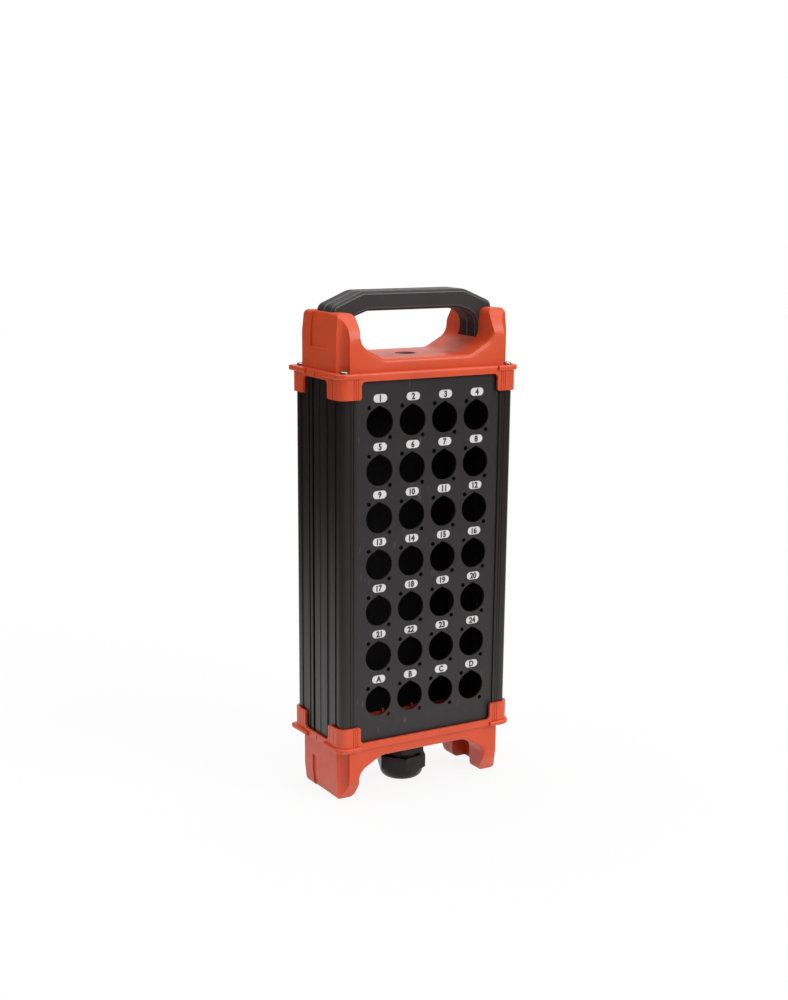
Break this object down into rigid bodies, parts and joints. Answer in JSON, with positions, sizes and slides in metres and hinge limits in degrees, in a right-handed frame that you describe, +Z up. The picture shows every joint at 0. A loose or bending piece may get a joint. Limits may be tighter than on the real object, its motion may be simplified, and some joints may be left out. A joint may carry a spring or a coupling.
{
  "type": "stage box snake housing",
  "caption": "Upright stage box housing with moulded end caps, carrying handle, feet, a cable gland and numbered round connector cut-outs.",
  "frame": {"origin": "middle of the footprint, on the ground that the feet stand on", "axes": "+Z up along the housing, +X to the right as the punched front panel is looked at, the front panel faces -Y"},
  "size_m": [0.1686, 0.085, 0.4104],
  "materials": {
    "panel_sheet": "charcoal powder coat, satin",
    "profile_metal": "black anodised extrusion, satin",
    "cap_plastic": "orange-red moulded plastic, satin",
    "handle_plastic": "black moulded plastic, satin",
    "gland_plastic": "black moulded nylon, satin",
    "seal_rubber": "black rubber, matt",
    "screw_steel": "zinc plated steel"
  },
  "bodies": {
    "housing": {"front_panel": "panel_sheet", "rear_panel": "panel_sheet", "left_side_profile": "profile_metal", "right_side_profile": "profile_metal", "top_cap": "cap_plastic", "bottom_cap": "cap_plastic", "handle_front_shell": "handle_plastic", "handle_rear_shell": "handle_plastic", "top_screw_front_left": "screw_steel", "top_screw_front_right": "screw_steel", "top_screw_rear_left": "screw_steel", "top_screw_rear_right": "screw_steel", "bottom_screw_front_left": "screw_steel", "bottom_screw_front_right": "screw_steel", "bottom_screw_rear_left": "screw_steel", "bottom_screw_rear_right": "screw_steel", "handle_screw_front_left": "screw_steel", "handle_screw_front_right": "screw_steel", "handle_screw_rear_left": "screw_steel", "handle_screw_rear_right": "screw_steel", "gland_body": "gland_plastic", "gland_sealing_washer": "seal_rubber", "gland_lock_nut": "gland_plastic"},
    "gland_seal": {"gland_seal_insert": "seal_rubber"},
    "gland_nut": {"gland_dome_nut": "gland_plastic"}
  },
  "joints": [
    {"name": "gland_seal_climb", "type": "slide", "parent": "housing", "child": "gland_seal", "axis": [0, 0, 1], "range_m": [0, 0.0025]},
    {"name": "gland_nut_turn", "type": "hinge", "parent": "gland_seal", "child": "gland_nut", "pos_m": [0, 0, 0.011], "axis": [0, 0, 1], "range_deg": [0, 599]}
  ],
  "couplings": [
    {"joint": "gland_seal_climb", "follows": "gland_nut_turn", "m_per_rad": 0.00023873}
  ]
}
